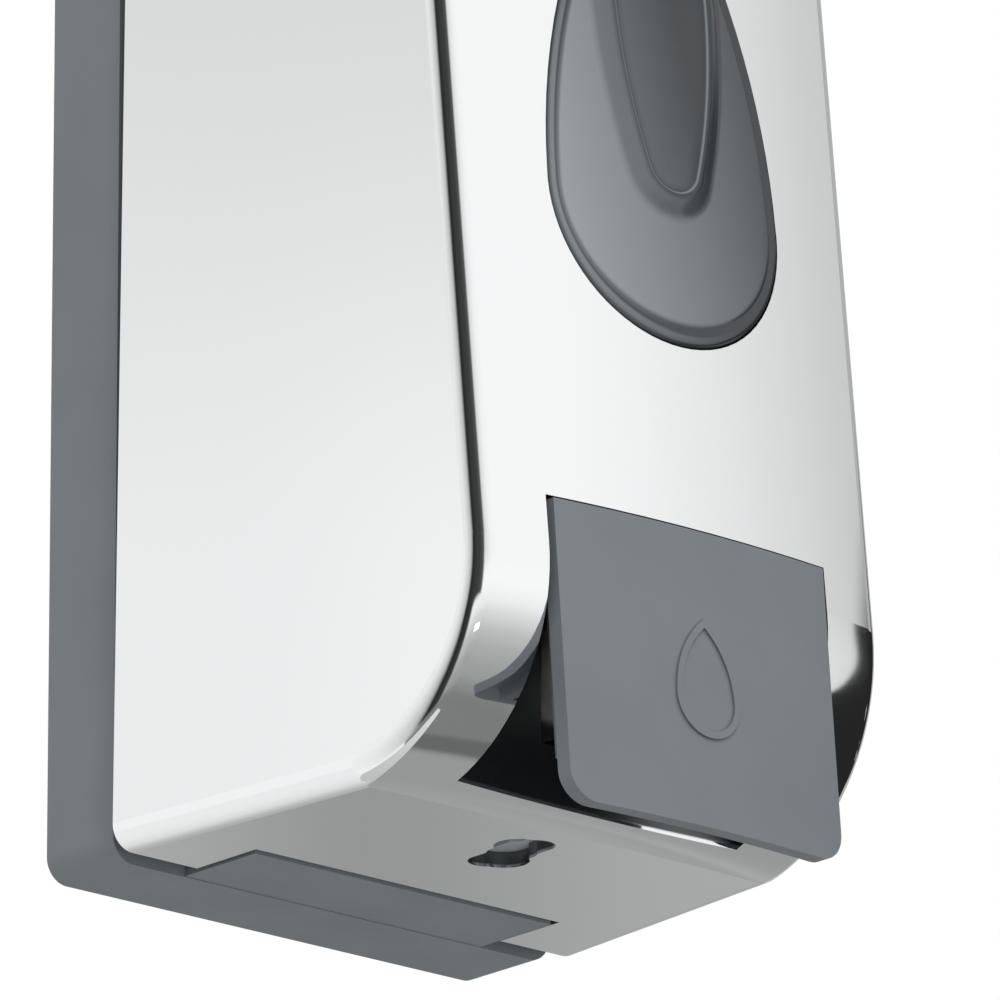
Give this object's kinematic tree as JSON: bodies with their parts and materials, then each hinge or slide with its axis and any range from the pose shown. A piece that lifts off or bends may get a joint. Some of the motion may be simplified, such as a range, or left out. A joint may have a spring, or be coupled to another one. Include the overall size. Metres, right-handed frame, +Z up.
{
  "type": "wall soap dispenser",
  "caption": "Wall-mounted liquid soap dispenser with a hinged chrome cover, smoked sight window, lower push lever, piston pump and key lock.",
  "frame": {"origin": "centre of the back plate's wall face", "axes": "+Z up along the wall, +Y into the wall, so the front faces -Y; +X to the right seen from the front"},
  "size_m": [0.0968, 0.106, 0.2141],
  "materials": {
    "satin_grey_tray": "satin moulded",
    "satin_grey_lever": "satin moulded",
    "chrome_plating": "bright plated",
    "smoked_acrylic": "polished, see-through",
    "clear_tank": "translucent moulded",
    "dark_polymer": "moulded",
    "white_polymer": "moulded",
    "grey_polymer": "moulded",
    "stainless": "drawn and turned",
    "black_rubber": "moulded",
    "clear_silicone": "moulded",
    "black_spring_steel": "phosphated"
  },
  "bodies": {
    "wall_unit": {"back_plate": "satin_grey_tray", "pump_shelf": "dark_polymer", "shelf_screws": "stainless", "reservoir": "clear_tank", "reservoir_top": "clear_tank", "reservoir_lid": "grey_polymer", "lid_gasket": "black_rubber", "pump_body": "white_polymer", "union_nut": "dark_polymer", "neck_gasket": "black_rubber", "inlet_valve": "black_rubber", "gland_cap": "dark_polymer", "gland_seal": "black_rubber", "outlet_nozzle": "clear_silicone", "hinge_pin": "stainless", "return_spring": "stainless"},
    "cover": {"cover_shell": "chrome_plating", "sight_window": "smoked_acrylic", "window_gasket": "black_rubber", "window_frame": "dark_polymer", "frame_screws": "stainless", "lever_pins": "stainless", "pin_clips": "black_spring_steel", "lock_keeper": "dark_polymer", "keeper_screws": "stainless"},
    "lever": {"push_lever": "satin_grey_lever"},
    "plunger": {"plunger": "white_polymer", "plunger_cap": "black_rubber", "piston_seal": "black_rubber"},
    "lock": {"lock_core": "grey_polymer", "lock_cam": "stainless", "cam_clip": "black_spring_steel"}
  },
  "joints": [
    {"name": "cover_hinge", "type": "hinge", "parent": "wall_unit", "child": "cover", "pos_m": [0, -0.0205, 0.1], "axis": [-1, 0, 0], "range_deg": [0, 92]},
    {"name": "lever_pivot", "type": "hinge", "parent": "cover", "child": "lever", "pos_m": [0, -0.0935, -0.0645], "axis": [1, 0, 0], "range_deg": [0, 16], "stiffness_Nm_per_rad": 0.125, "springref_deg": -4.58},
    {"name": "plunger_slide", "type": "slide", "parent": "wall_unit", "child": "plunger", "axis": [0, 1, 0], "range_m": [0, 0.0036], "deforming": ["return_spring"]},
    {"name": "lock_turn", "type": "hinge", "parent": "cover", "child": "lock", "pos_m": [0, -0.0586, -0.099], "axis": [0, 0, -1], "range_deg": [0, 90]}
  ],
  "couplings": [
    {"joint": "plunger_slide", "follows": "lever_pivot", "m_per_rad": 0.0125}
  ]
}
